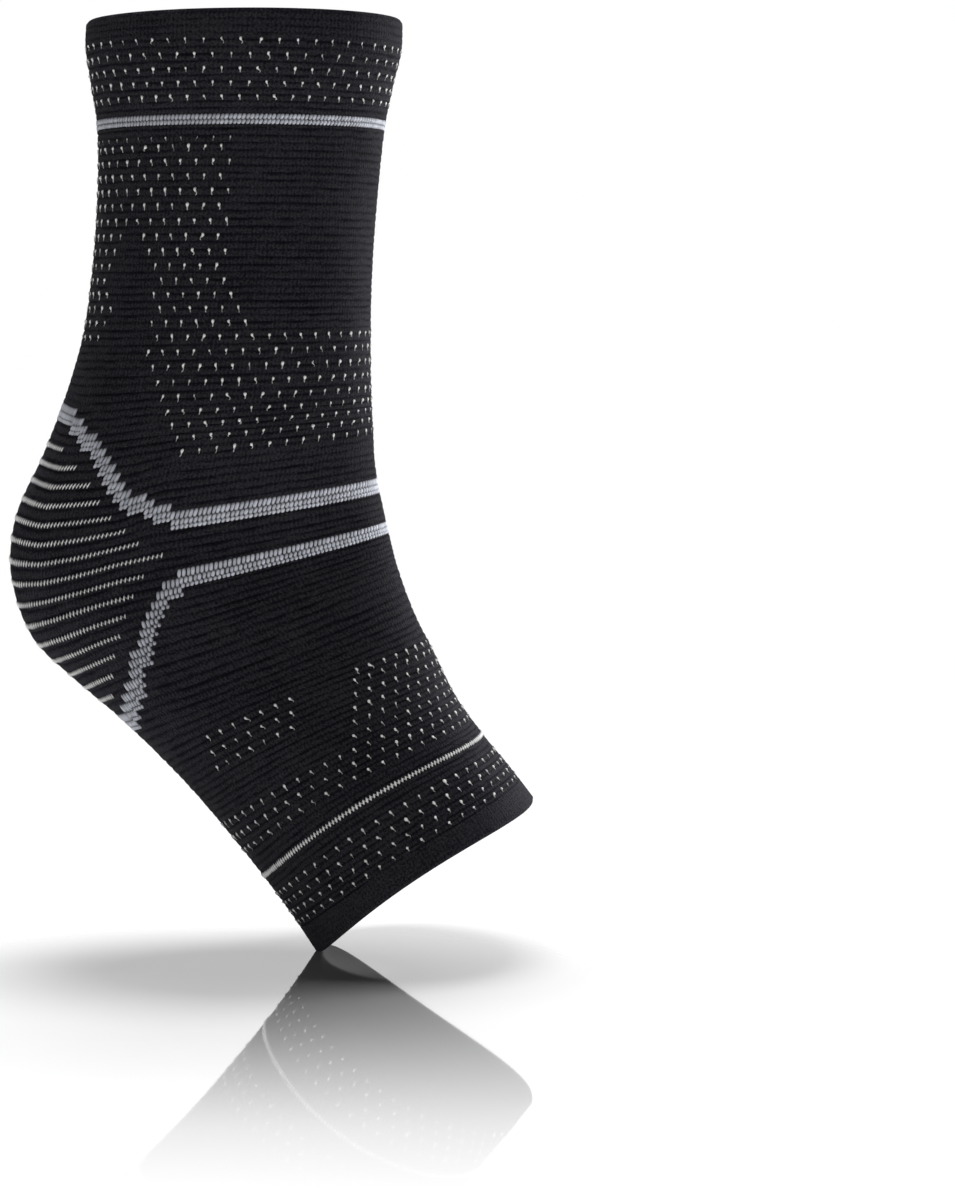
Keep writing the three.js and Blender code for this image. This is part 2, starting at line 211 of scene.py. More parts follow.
# The crest weight paints the valleys between ribs darker: painted shade.
KNIT_TONES = {"crest_shading": 0.45, "fuzz": 0.6, "patches": 0.14, "loops": 0.07}
KNIT_BUMP = (1, 0.45 * MM)
KNIT_BLACKS = [
    (0.33, (0.0020, 0.0020, 0.0028, 1)),
    (0.73, (0.0106, 0.0102, 0.0138, 1)),
    (0.93, (0.0350, 0.0340, 0.0390, 1)),
]
KNIT_SURFACE = {"Roughness": 0.85, "Specular IOR Level": 0.01, "Sheen Weight": 0.003, "Sheen Roughness": 0.4}
YARN_FIBRES = (3200, 3)
YARN_PATCHES = (260, 2)
# The crest weight paints the joints of yarn darker: painted shade.
YARN_TONES = {"crest_shading": 0.7, "fibres": 0.2, "patches": 0.1}
YARN_TONE_ENDS = (0.2, 0.8)
YARN_BUMP = (0.4, 0.1 * MM)
YARN_SURFACE = {"Roughness": 0.7, "Specular IOR Level": 0.2, "Sheen Weight": 0.25, "Sheen Roughness": 0.4}

# The yarns: colour in the joints, darkened there as painted shade, colour on top.
YARN_COLOURS = {
    "grey_yarn": [(0.13, 0.133, 0.15, 1), (0.74, 0.76, 0.84, 1)],
    "stripe_yarn": [(0.07, 0.07, 0.07, 1), (0.86, 0.86, 0.85, 1)],
    "float_yarn": [(0.12, 0.12, 0.12, 1), (0.90, 0.90, 0.88, 1)],
}

FLOOR_SIZE = 12
FLOOR_GAP = 0.4 * MM
FLOOR_PAINT = (0.9, 0.9, 0.905, 1)
MIRROR_ROUGHNESS = 0.03
MIRROR_SHARE = 0.74
MIRROR_FADE = (-0.33, -0.03)
SHADE_CENTRE = (0.02, -0.035, 0)
SHADE_REACH = (0.13, 0.08, 1)
SHADE_CORE = 0.3
SHADE_TONE = 0.64
WHITE_RUN_OUT = (0.3, 0.9)

# The light of the studio: how bright it is low down and high up, and on its dark and its bright side.
BRIGHT_SIDE = {"X": 0.55, "Y": 0.83}
SIDE_FADE = (-0.6, 0.7)
SIDE_TONES = (0.15, 1)
HEIGHT_TONES = [(0.3, 0.62), (0.55, 0.15)]

# The softboxes: place, aim, size, watts.
TOP_SOFTBOX = [(0, 0.5, 2.0), (0, 0, 0), (0.9, 0.9), 64]
RIGHT_SOFTBOX = [(0.8, 0.8, 0.1), (0.03, 0, 0), (0.5, 0.6), 20]

CHART_ROW_STEP = 0.25
RING_SAMPLES = 720
SEED = 7
PHOTO_HEIGHT = 1200
SENSOR = 36
FOCAL_PIXELS = 2959
CAMERA_AZIMUTH = math.radians(8)
CAMERA_DISTANCE = 0.94
CAMERA_HEIGHT = 0.073
CAMERA_AIM = Vector((0.08653, 0, -0.0219))


def smooth_table(table, places):
    """Smooth curves through the columns of a table, read at places along its first column."""
    along = table[:, 0]
    steps = np.diff(along)
    rises = np.diff(table, axis=0) / steps[:, None]
    inner = (rises[:-1] * steps[1:, None] + rises[1:] * steps[:-1, None]) / (steps[1:] + steps[:-1])[:, None]
    slopes = np.vstack([rises[:1], inner, rises[-1:]])
    places = np.clip(places, along[0], along[-1])
    start = np.clip(np.searchsorted(along, places, side="right") - 1, 0, len(along) - 2)
    t = ((places - along[start]) / steps[start])[:, None]
    rise = table[start + 1] - table[start]
    leave = slopes[start] * steps[start][:, None]
    arrive = slopes[start + 1] * steps[start][:, None]
    values = table[start] + t * leave + t**2 * (3 * rise - 2 * leave - arrive)
    return values + t**3 * (leave + arrive - 2 * rise)


def section_points(section, angles):
    """Points of one section. The angle starts at the front and turns past the near side, at -Y."""
    _, front_x, front_z, back_x, back_z, half_width, egg, bow, _ = section
    front = np.array([front_x * SLEEVE_LENGTH, 0, front_z * SLEEVE_HEIGHT])
    back = np.array([back_x * SLEEVE_LENGTH, 0, back_z * SLEEVE_HEIGHT])
    half_depth = (front - back) / 2
    toward_leg = np.array([-half_depth[2], 0, half_depth[0]]) / np.linalg.norm(half_depth)
    forward, sideways = np.cos(angles), np.sin(angles)
    points = (front + back) / 2 + forward[:, None] * half_depth
    points += (bow * SLEEVE_WIDTH * sideways**2)[:, None] * toward_leg
    points[:, 1] = -half_width * SLEEVE_WIDTH * sideways * (1 + egg * forward)
    return points


def unit(vectors):
    """Vectors of length 1 along the given ones."""
    return vectors / np.linalg.norm(vectors, axis=-1, keepdims=True)


def make_chart():
    """The smooth form of the knit: its points and ways out at every quarter course and every wale."""
    courses = np.arange(0, COURSE_COUNT + CHART_ROW_STEP / 2, CHART_ROW_STEP)
    sections = smooth_table(SECTIONS, courses)
    angles = np.linspace(0, 2 * math.pi, RING_SAMPLES + 1)
    wales = np.arange(WALE_COUNT) / WALE_COUNT
    points = np.zeros((len(courses), WALE_COUNT, 3))
    for row, section in enumerate(sections):
        ring = section_points(section, angles)
        lengths = np.concatenate([[0], np.cumsum(np.linalg.norm(np.diff(ring, axis=0), axis=1))])
        points[row] = section_points(section, np.interp(wales * lengths[-1], lengths, angles))
    downs = np.gradient(points, axis=0)
    rounds = np.roll(points, -1, axis=1) - np.roll(points, 1, axis=1)
    return points, unit(np.cross(rounds, downs)), unit(downs)


CHART_POINTS, CHART_OUTS, CHART_DOWNS = make_chart()


def make_pull_chart():
    """How far the heel pocket pulls every course at every wale, on the grid of the chart."""
    courses = np.arange(0, COURSE_COUNT + CHART_ROW_STEP / 2, CHART_ROW_STEP)
    wales = np.arange(WALE_COUNT)
    from_front = np.minimum(wales, WALE_COUNT - wales)
    rows = smooth_table(PULLS, courses)[:, 1:]
    return np.array([np.interp(from_front, PULL_WALES, row) for row in rows])[..., None]


PULL_CHART = make_pull_chart()


def chart_value(chart, courses, wales):
    """Reads a chart at the places that courses and wales, two arrays of one shape, are pulled to."""
    return plain_value(chart, courses + plain_value(PULL_CHART, courses, wales)[..., 0], wales)


def plain_value(chart, courses, wales):
    """Reads a chart between its rows and wales."""
    row = np.clip(courses / CHART_ROW_STEP, 0, len(chart) - 1.001)
    upper = row.astype(int)
    wale = np.mod(wales, WALE_COUNT)
    left = np.floor(wale).astype(int) % WALE_COUNT
    right = (left + 1) % WALE_COUNT
    across = (wale - np.floor(wale))[..., None]
    down = (row - upper)[..., None]
    top = chart[upper, left] * (1 - across) + chart[upper, right] * across
    bottom = chart[upper + 1, left] * (1 - across) + chart[upper + 1, right] * across
    return top * (1 - down) + bottom * down


def knit_outs(courses, wales):
    """The ways out of the knit at places on it."""
    return unit(chart_value(CHART_OUTS, courses, wales))


def knit_points(courses, wales, lifts):
    """Places on the knit, each lifted off it."""
    return chart_value(CHART_POINTS, courses, wales) + knit_outs(courses, wales) * lifts[..., None]


def zone_top(name, wales):
    """The upper edge of a grey zone. Beside the heel a contour band climbs or falls in whole courses."""
    if name not in BAND_EDGES:
        return np.full(np.shape(wales), CUFF_STRIPE_TOP)
    rows = np.array(BAND_EDGES[name], float)
    middle = (np.floor(np.mod(wales, WALE_COUNT) / STEP_WALES) + 0.5) * STEP_WALES
    from_front = np.minimum(middle, WALE_COUNT - middle)
    level = rows[0, 1]
    return level + np.round(np.interp(from_front, rows[:, 0], rows[:, 1]) - level)


def band_cover(courses, wales):
    """1 where grey yarn covers the knit and the ribs lie flat under it, else 0."""
    cover = np.zeros(np.broadcast(courses, wales).shape, bool)
    for name, rows in STITCH_ROWS.items():
        top = zone_top(name, wales)
        cover |= (courses > top) & (courses < top + rows[-1])
    return cover.astype(float)


def stitch_noise(courses, wales, seed):
    """A fixed random value from -1 to 1 for every stitch."""
    values = np.random.default_rng(seed).uniform(-1, 1, (int(COURSE_COUNT) + 2, WALE_COUNT))
    return values[np.clip(courses, 0, COURSE_COUNT).astype(int), np.mod(wales, WALE_COUNT).astype(int)]


def slow_noise(courses, wales, seed):
    """A fixed random value from -1 to 1 for every course, which changes slowly from wale to wale."""
    places = np.mod(wales, WALE_COUNT) / NOISE_WALES
    low = np.floor(places)
    share = places - low
    share = share * share * (3 - 2 * share)
    here = stitch_noise(courses, low, seed)
    after = stitch_noise(courses, (low + 1) % (WALE_COUNT // NOISE_WALES), seed)
    return here * (1 - share) + after * share


def rib_crest(courses, wales):
    """0 in the valleys between ribs to 1 on the crests: one rib for each course. The valleys wander a little,
    run deep and shallow in turn, and are faint in the welt and the hem."""
    start = np.floor(courses + ROUNDING)
    upper = VALLEY_WANDER * slow_noise(start, wales, SEED + 3)
    lower = VALLEY_WANDER * slow_noise(start + 1, wales, SEED + 3)
    place = np.clip((courses - start - upper) / (1 + lower - upper), 0, 1)
    nearest = start + (place > 0.5)
    depth = 1 - VALLEY_DEPTH_SPREAD * (0.5 + 0.5 * slow_noise(nearest, wales, SEED + 5))
    depth *= 1 - STITCH_DEPTH_SPREAD * (0.5 + 0.5 * stitch_noise(nearest, wales, SEED + 6))
    depth = np.where(courses < WELT_COURSE, WELT_RIB_SHARE, depth)
    depth = np.where(courses > HEM_COURSE, HEM_RIB_SHARE, depth)
    return 1 - (1 - np.sin(np.pi * place) ** CREST_WIDTH) * depth


def rib_lift(courses, wales):
    """How far the ribs stand out, uneven from stitch to stitch."""
    height = 1 + RIB_UNEVENNESS * stitch_noise(courses, wales, SEED)
    height += RIB_UNEVENNESS * slow_noise(courses, wales, SEED + 4)
    height = np.where((courses < WELT_COURSE) | (courses > HEM_COURSE), 1, height)
    return RIB_HEIGHT * rib_crest(courses, wales) * height * (1 - band_cover(courses, wales))


def mesh_object(name, points, quads, uvs=None, crest_shading=None):
    """A smooth-shaded object of quads. uvs lay out its courses and wales, and crest values paint shade into
    valleys and joints.
    """
    mesh = bpy.data.meshes.new(name)
    mesh.vertices.add(len(points))
    mesh.vertices.foreach_set("co", points.astype(np.float32).ravel())
    mesh.loops.add(quads.size)
    mesh.loops.foreach_set("vertex_index", quads.astype(np.int32).ravel())
    mesh.polygons.add(len(quads))
    mesh.polygons.foreach_set("loop_start", np.arange(0, quads.size, quads.shape[1], dtype=np.int32))
    mesh.polygons.foreach_set("use_smooth", np.ones(len(quads), bool))
    if uvs is not None:
        layer = mesh.uv_layers.new(name="chart")
        layer.data.foreach_set("uv", uvs.astype(np.float32).ravel())
    if crest_shading is not None:
        values = mesh.attributes.new("crest_shading", "FLOAT", "POINT").data
        values.foreach_set("value", crest_shading.astype(np.float32).ravel())
    mesh.update(calc_edges=True)
    mesh.validate()
    piece = bpy.data.objects.new(name, mesh)
    bpy.context.scene.collection.objects.link(piece)
    return piece


def ring_rows(first, last):
    """The rows of one knit ring as a closed profile: course, depth through the wall, length beyond the end."""
    outer = np.linspace(first, last, round((last - first) * OUTER_STEPS) + 1)
    inner = np.linspace(last, first, round((last - first) * INNER_STEPS) + 1)
    rows = [(course, 0, 0) for course in outer]
    turn = np.linspace(0, math.pi, RIM_STEPS + 1)[1:-1]
    if last == COURSE_COUNT:
        rows += [(last, (1 - math.cos(a)) / 2, math.sin(a) / 2) for a in turn]
    rows += [(course, 1, 0) for course in inner]
    if first == 0:
        rows += [(0, (1 + math.cos(a)) / 2, -math.sin(a) / 2) for a in turn]
    return np.array(rows)


def knit_ring(name, first, last):
    """One ring of the knit, from its ribbed outside round to its inside."""
    rows = ring_rows(first, last)
    wales = np.tile(np.arange(WALE_COUNT, dtype=float), (len(rows), 1))
    courses = np.tile(rows[:, :1], (1, WALE_COUNT))
    depth = np.tile(rows[:, 1:2], (1, WALE_COUNT))
    wall = smooth_table(SECTIONS, rows[:, 0])[:, -1:] * KNIT_WALL
    inner_rib = INNER_RIB_HEIGHT * np.abs(np.sin(np.pi * courses))
    lifts = np.where(depth == 0, rib_lift(courses, wales), -depth * wall)
    lifts = np.where(depth == 1, lifts - inner_rib, lifts)
    points = knit_points(courses, wales, lifts)
    points += chart_value(CHART_DOWNS, courses, wales) * (rows[:, 2:3] * wall)[..., None]
    ring = np.arange(len(rows))[:, None]
    column = np.arange(WALE_COUNT)[None, :]
    below = (ring + 1) % len(rows)
    after = (column + 1) % WALE_COUNT
    corners = [
        ring * WALE_COUNT + column,
        ring * WALE_COUNT + after,
        below * WALE_COUNT + after,
        below * WALE_COUNT + column,
    ]
    quads = np.stack(corners, axis=-1).reshape(-1, 4)
    v = rows[:, 0] / COURSE_COUNT
    shape = (len(rows), WALE_COUNT)
    top = np.broadcast_to(v[:, None], shape)
    bottom = np.broadcast_to(np.roll(v, -1)[:, None], shape)
    left = np.broadcast_to(column / WALE_COUNT, shape)
    right = left + 1 / WALE_COUNT
    uvs = np.stack([left, top, right, top, right, bottom, left, bottom], axis=-1).reshape(-1, 2)
    # The crests also go to the colour, where they paint the valleys between ribs darker: painted shade.
    return mesh_object(name, points.reshape(-1, 3), quads, uvs, rib_crest(courses, wales))


def strands_object(name, centres, outs, widths, heights, shadings):
    """Short lengths of yarn as closed tubes. centres and outs are [strand, step, 3]. widths and heights, the
    half sizes of the yarn along the knit and out of it, and the lightness, painted shade at joints and thin
    ends, are [strand, step]."""
    sides = YARN_SIDES
    count, steps, _ = centres.shape
    along = unit(np.gradient(centres, axis=1))
    across = unit(np.cross(along, outs))
    up = unit(np.cross(across, along))
    angles = np.arange(sides) / sides * 2 * math.pi
    cos, sin = np.cos(angles), np.sin(angles)
    points = centres[:, :, None] + across[:, :, None] * (widths[:, :, None] * cos)[..., None]
    points += up[:, :, None] * (heights[:, :, None] * sin)[..., None]
    strand = np.arange(count)[:, None, None] * steps * sides
    step = np.arange(steps - 1)[None, :, None] * sides
    side = np.arange(sides)[None, None, :]
    after = (side + 1) % sides
    ring = strand + step
    corners = [ring + side, ring + sides + side, ring + sides + after, ring + after]
    walls = np.stack(corners, axis=-1).reshape(-1, 4)
    start = np.arange(count)[:, None] * steps * sides
    end = start + (steps - 1) * sides
    fans = [[0, corner, corner + 1, corner + 2] for corner in range(1, sides - 2, 2)]
    caps = [np.hstack([start + corner for corner in fan]) for fan in fans]
    caps += [np.hstack([end + corner for corner in reversed(fan)]) for fan in fans]
    return mesh_object(name, points.reshape(-1, 3), np.vstack([walls, *caps]), None, np.repeat(shadings, sides))


def wear(piece, node, material):
    """Puts a piece on the sleeve: its material, its body and the CAD node that it stands for."""
    piece.data.materials.append(material)
    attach(piece, "root")
    if node:
        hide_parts(node)
    return piece


def bow_profile(steps, end_share):
    """From end_share at both ends of a strand to 1 in its middle."""
    t = np.linspace(-1, 1, steps)
    return end_share + (1 - end_share) * np.sqrt(np.clip(1 - t**2, 0, 1))


def stitch_layer(wales, tops, bottoms, lean, overlap, width, thickness, lift, tone):
    """One length of yarn for each stitch, from tops to bottoms in courses."""
    t = np.linspace(0, 1, STITCH_STEPS)[None, :]
    jitter = stitch_noise(tops * 7 % COURSE_COUNT, wales, SEED + 1)[:, None]
    bow = bow_profile(STITCH_STEPS, STITCH_END_SHARE)[None, :]
    courses = tops[:, None] + (bottoms - tops)[:, None] * (t * (1 + 2 * overlap) - overlap)
    places = wales[:, None] + 0.5 + lean * (t - 0.5) + STITCH_SPREAD["place"] * jitter
    lifts = (lift + STITCH_SPREAD["lift"] * jitter) * bow * MM
    widths = width * (1 + STITCH_SPREAD["width"] * jitter) * bow * MM
    heights = thickness * bow * np.ones_like(jitter) * MM
    dullness = STITCH_SPREAD["tone"] * (1 - jitter)
    # Each length is painted darker toward its ends, where it dives under the next stitch: painted shade.
    lightness = tone * (1 - dullness) * (bow - STITCH_END_SHARE) / (1 - STITCH_END_SHARE)
    return knit_points(courses, places, lifts), knit_outs(courses, places), widths, heights, lightness


def band_object(name):
    """The rows of stitches of a grey zone, over every wale."""
    rows = STITCH_ROWS[name]
    wales = np.tile(np.arange(WALE_COUNT, dtype=float), len(rows) - 1)
    zone_tops = zone_top(name, wales + 0.5)
    tops = zone_tops + np.repeat(rows[:-1], WALE_COUNT)
    bottoms = zone_tops + np.repeat(rows[1:], WALE_COUNT)
    layers = [stitch_layer(wales, tops, bottoms, *layer) for layer in STITCH_LAYERS]
    *shape, lightness = [np.concatenate(parts) for parts in zip(*layers)]
    from_front = np.minimum(wales + 0.5, WALE_COUNT - wales - 0.5)
    # Toward the back the grey yarn is painted darker: painted shade.
    tones_and_shade = ZONE_TONES[name] * np.interp(from_front, BACK_SIDE_SHADE[:, 0], BACK_SIDE_SHADE[:, 1])
    lightness *= np.tile(tones_and_shade, len(STITCH_LAYERS))[:, None]
    return strands_object(name + "_stitches", *shape, lightness)


def zigzag_object(name, course, first, last, size):
    """A line of yarn on one course: a plump slanted stroke for each wale, joined by thinner ones."""
    wales = np.arange(first, last)
    t = np.linspace(-0.5, 0.5, STROKE_STEPS)[None, :]
    bow = bow_profile(STROKE_STEPS, STITCH_END_SHARE)[None, :]
    jitter = stitch_noise(np.full(len(wales), course), wales, SEED + 2)[:, None]
    layers = []
    for centre, reach, drop, radius in STROKES:
        places = wales[:, None] + centre + reach * t
        courses = course + (drop + STROKE_SPREAD["drop"] * jitter) * t * size
        lifts = rib_lift(courses, places) + (STROKE_LIFT * bow + STROKE_SPREAD["lift"] * jitter) * MM
        widths = radius * size * (1 + STROKE_SPREAD["width"] * jitter) * bow * MM
        # The ends of each stroke and the thin joining strokes are painted darker: painted shade.
        lightness = bow * radius / STROKES[0][-1] * np.ones_like(jitter)
        points = knit_points(courses, places, lifts)
        layers.append((points, knit_outs(courses, places), widths, widths, lightness))
    return strands_object(name + "_stitches", *[np.concatenate(parts) for parts in zip(*layers)])


def mirrored(wales):
    """The given wales of the near side with their mirror images on the far side."""
    wales = np.asarray(wales)
    own = wales[(wales > 0) & (wales < BACK_WALE)]
    return np.concatenate([wales, WALE_COUNT - own])


def group_wales(first, last):
    """The wales of one group of floats, on both sides."""
    return mirrored(np.arange(first, last + 1, DOT_WALES))


def ring_wales(index):
    """The wales of a row of floats that goes all the way round."""
    return np.arange(index % 2 * DOT_WALES // 2, WALE_COUNT, DOT_WALES)


def dots_object(name, rows, rng):
    """Light floats: each has a round head and a thin bent tail. Every row is its course, wales and size."""
    course = np.concatenate([np.full(len(wales), row) for row, wales, _ in rows])
    wale = np.concatenate([wales for _, wales, _ in rows]).astype(float)
    size = np.concatenate([np.full(len(wales), size) for _, wales, size in rows])
    profile = np.array(FLOAT_PROFILE)[None, :]
    t = np.linspace(0, 1, len(FLOAT_PROFILE))[None, :]
    lean = rng.normal(*FLOAT_LEAN, len(course))[:, None]
    bend = rng.normal(*FLOAT_BEND, len(course))[:, None]
    size_share = SMALL_FLOAT_LENGTH + (1 - SMALL_FLOAT_LENGTH) * size
    length = (rng.normal(*FLOAT_LENGTH, len(course)) * size_share)[:, None]
    thick = (rng.normal(*FLOAT_THICKNESS, len(course)) * size)[:, None]
    places = wale[:, None] + 0.5 + lean * (t - FLOAT_HEAD["wale"]) + bend * np.sin(2 * np.pi * t)
    courses = course[:, None] + length * (t - FLOAT_HEAD["course"])
    lifts = rib_lift(courses, places) + FLOAT_LIFT * profile
    widths = FLOAT_RADIUS * thick * profile
    # The tails and thin floats are painted darker where they dive into the knit: painted shade.
    lightness = profile * np.clip(thick, 0, BRIGHTEST_FLOAT)
    points = knit_points(courses, places, lifts)
    outs = knit_outs(courses, places)
    return strands_object(name, points, outs, widths, widths * FLOAT_FLATNESS, lightness)


def leg_dot_rows():
    """The rows of floats on the leg: course, wales, size."""
    rows = [(FAINT_DOT_ROW["course"], group_wales(*FAINT_DOT_ROW["group"]), FAINT_DOT_ROW["size"])]
    for index, groups in enumerate(LEG_DOT_GROUPS):
        wales = np.concatenate([group_wales(*group) for group in groups])
        rows.append((LEG_DOTS["first"] + index * LEG_DOTS["pitch"], wales, 1))
    return rows


def foot_dot_rows():
    """The rows of floats on the instep, under the arch and round the foot and the toe end."""
    rows = [(INSTEP_DOT_ROW["course"], group_wales(*INSTEP_DOT_ROW["group"]), 1)]
    for index, group in enumerate(ARCH_DOT_GROUPS):
        rows.append((ARCH_DOTS["first"] + index * ARCH_DOTS["pitch"], group_wales(*group), 1))
    for index, group in enumerate(FOOT_DOT_GROUPS):
        rows.append((FOOT_DOTS["first"] + index * FOOT_DOTS["pitch"], group_wales(*group), 1))
    for index in range(TOE_DOTS["rows"]):
        rows.append((TOE_DOTS["first"] + index * TOE_DOTS["pitch"], ring_wales(index), 1))
    return rows


def new_material(name):
    """A material with its nodes, its links and its main shader."""
    material = bpy.data.materials.new(name)
    material.use_nodes = True
    nodes = material.node_tree.nodes
    return material, nodes, material.node_tree.links, nodes["Principled BSDF"]


def math_node(nodes, links, operation, first, second=None):
    """A Math node; first and second are numbers or sockets."""
    node = nodes.new("ShaderNodeMath")
    node.operation = operation
    for socket, value in zip(node.inputs, (first, second)):
        if value is None:
            continue
        if isinstance(value, (int, float)):
            socket.default_value = value
        else:
            links.new(value, socket)
    return node.outputs[0]


def length_of(nodes, links, vector):
    """The length of a vector."""
    node = nodes.new("ShaderNodeVectorMath")
    node.operation = "LENGTH"
    links.new(vector, node.inputs[0])
    return node.outputs["Value"]


def map_range(nodes, links, value, low, high):
    """A smooth rise from 0 at low to 1 at high."""
    node = nodes.new("ShaderNodeMapRange")
    node.interpolation_type = "SMOOTHSTEP"
    node.inputs["From Min"].default_value = low
    node.inputs["From Max"].default_value = high
    links.new(value, node.inputs["Value"])
    return node.outputs["Result"]


def mix_shader(nodes, links, share, first, second):
    """The first shader where share is 0, the second where it is 1."""
    node = nodes.new("ShaderNodeMixShader")
    links.new(share, node.inputs[0])
    links.new(first, node.inputs[1])
    links.new(second, node.inputs[2])
    return node.outputs[0]


def grey(tone):
    """A colour without hue."""
    return (tone, tone, tone, 1)


def colour_ramp(nodes, links, value, stops):
    """A colour that follows a value. The stops are pairs of value and colour."""
    ramp = nodes.new("ShaderNodeValToRGB")
    ramp.color_ramp.elements[0].position, ramp.color_ramp.elements[0].color = stops[0]
    ramp.color_ramp.elements[1].position, ramp.color_ramp.elements[1].color = stops[-1]
    for position, colour in stops[1:-1]:
        ramp.color_ramp.elements.new(position).color = colour
    links.new(value, ramp.inputs["Fac"])
    return ramp.outputs["Color"]


def noise(nodes, links, coordinates, scale, detail):
    """A cloudy pattern from 0 to 1."""
    texture = nodes.new("ShaderNodeTexNoise")
    texture.inputs["Scale"].default_value = scale
    texture.inputs["Detail"].default_value = detail
    links.new(coordinates, texture.inputs["Vector"])
    return texture.outputs["Fac"]


def bump(nodes, links, shader, height, strength, distance):
    """Fine relief on a shader, from a height of 0 to 1."""
    node = nodes.new("ShaderNodeBump")
    node.inputs["Strength"].default_value = strength
    node.inputs["Distance"].default_value = distance
    links.new(height, node.inputs["Height"])
    links.new(node.outputs["Normal"], shader.inputs["Normal"])


def set_surface(shader, surface):
    """How rough, shiny and fuzzy a shader is."""
    for name, value in surface.items():
        shader.inputs[name].default_value = value


def crest_shading_value(nodes):
    """The painted shade that a mesh carries: 0 in the valleys of the knit and the joints of yarn, 1 on top."""
    node = nodes.new("ShaderNodeAttribute")
    node.attribute_name = "crest_shading"
    return node.outputs["Fac"]


def weighted_sum(nodes, links, weights, sockets):
    """The sum of sockets, each with the weight of its name."""
    total = None
    for name, weight in weights.items():
        part = math_node(nodes, links, "MULTIPLY", sockets[name], weight)
        total = part if total is None else math_node(nodes, links, "ADD", total, part)
    return total


def knit_material():
    """Matte black elastic yarn: rows of loops on every rib, with a fuzzy, slightly uneven surface."""
    material, nodes, links, shader = new_material("black_knit")
    chart = nodes.new("ShaderNodeUVMap")
    chart.uv_map = "chart"
    parts = nodes.new("ShaderNodeSeparateXYZ")
    links.new(chart.outputs["UV"], parts.inputs["Vector"])
    wale = math_node(nodes, links, "MULTIPLY", parts.outputs["X"], float(WALE_COUNT))
    course = math_node(nodes, links, "MULTIPLY", parts.outputs["Y"], COURSE_COUNT)
    in_course = math_node(nodes, links, "FRACT", course)
    slant = math_node(nodes, links, "ABSOLUTE", math_node(nodes, links, "SUBTRACT", in_course, 0.5))
    leaning = math_node(nodes, links, "ADD", wale, math_node(nodes, links, "MULTIPLY", slant, LOOP_SLANT))
    turn = math_node(nodes, links, "MULTIPLY", leaning, 2 * math.pi)
    loops = math_node(nodes, links, "MULTIPLY_ADD", math_node(nodes, links, "COSINE", turn), 0.5)
    loops.node.inputs[2].default_value = 0.5
    place = nodes.new("ShaderNodeTexCoord").outputs["Object"]
    sockets = {
        "crest_shading": crest_shading_value(nodes),
        "fuzz": noise(nodes, links, place, *KNIT_FUZZ),
        "patches": noise(nodes, links, place, *KNIT_PATCHES),
        "loops": loops,
    }
    bump(nodes, links, shader, weighted_sum(nodes, links, KNIT_RELIEF, sockets), *KNIT_BUMP)
    # The tone paints the valleys between ribs darker, as painted shade.
    tone = weighted_sum(nodes, links, KNIT_TONES, sockets)
    links.new(colour_ramp(nodes, links, tone, KNIT_BLACKS), shader.inputs["Base Color"])
    set_surface(shader, KNIT_SURFACE)
    return material


def yarn_material(name):
    """Light yarn with fine fibres, painted darker in its joints as painted shade."""
    material, nodes, links, shader = new_material(name)
    place = nodes.new("ShaderNodeTexCoord").outputs["Object"]
    sockets = {
        "crest_shading": crest_shading_value(nodes),
        "fibres": noise(nodes, links, place, *YARN_FIBRES),
        "patches": noise(nodes, links, place, *YARN_PATCHES),
    }
    tone = weighted_sum(nodes, links, YARN_TONES, sockets)
    stops = list(zip(YARN_TONE_ENDS, YARN_COLOURS[name]))
    links.new(colour_ramp(nodes, links, tone, stops), shader.inputs["Base Color"])
    bump(nodes, links, shader, sockets["fibres"], *YARN_BUMP)
    set_surface(shader, YARN_SURFACE)
    return material


def dress_sleeve():
    """Every piece of the sleeve, each over the CAD node that it stands for."""
    knit = knit_material()
    yarns = {name: yarn_material(name) for name in YARN_COLOURS}
    for name, first, last in KNIT_RINGS:
        wear(knit_ring(name, first, last), "knit_sleeve", knit)
    for name in STITCH_ROWS:
        wear(band_object(name), name, yarns["grey_yarn"])
    line = zigzag_object("toe_stripe", TOE_STRIPE_COURSE, 0, WALE_COUNT, TOE_STRIPE_SIZE)
    wear(line, "toe_stripe", yarns["stripe_yarn"])
    for index, tip in enumerate(HEEL_STRIPE_TIPS):
        name = f"heel_stripe_{index + 1:02d}"
        course = HEEL_STRIPES["first"] + index * HEEL_STRIPES["pitch"]
        line = zigzag_object(name, course, tip, WALE_COUNT - tip, HEEL_STRIPE_SIZE)
        wear(line, name, yarns["stripe_yarn"])
    rng = np.random.default_rng(SEED)
    cuff_rows = [(course, ring_wales(index), 1) for index, course in enumerate(CUFF_DOT_COURSES)]
    float_rows = {"cuff_floats": cuff_rows, "leg_floats": leg_dot_rows(), "foot_floats": foot_dot_rows()}
    for name, rows in float_rows.items():
        wear(dots_object(name, rows, rng), None, yarns["float_yarn"])


def shade_distance(nodes, links, place):
    """0 in the middle of the sleeve's shadow on the floor to 1 at its edge."""
    shifted = nodes.new("ShaderNodeVectorMath")
    shifted.operation = "SUBTRACT"
    shifted.inputs[1].default_value = SHADE_CENTRE
    links.new(place, shifted.inputs[0])
    scaled = nodes.new("ShaderNodeVectorMath")
    scaled.operation = "DIVIDE"
    scaled.inputs[1].default_value = SHADE_REACH
    links.new(shifted.outputs[0], scaled.inputs[0])
    return map_range(nodes, links, length_of(nodes, links, scaled.outputs[0]), 0, 1)


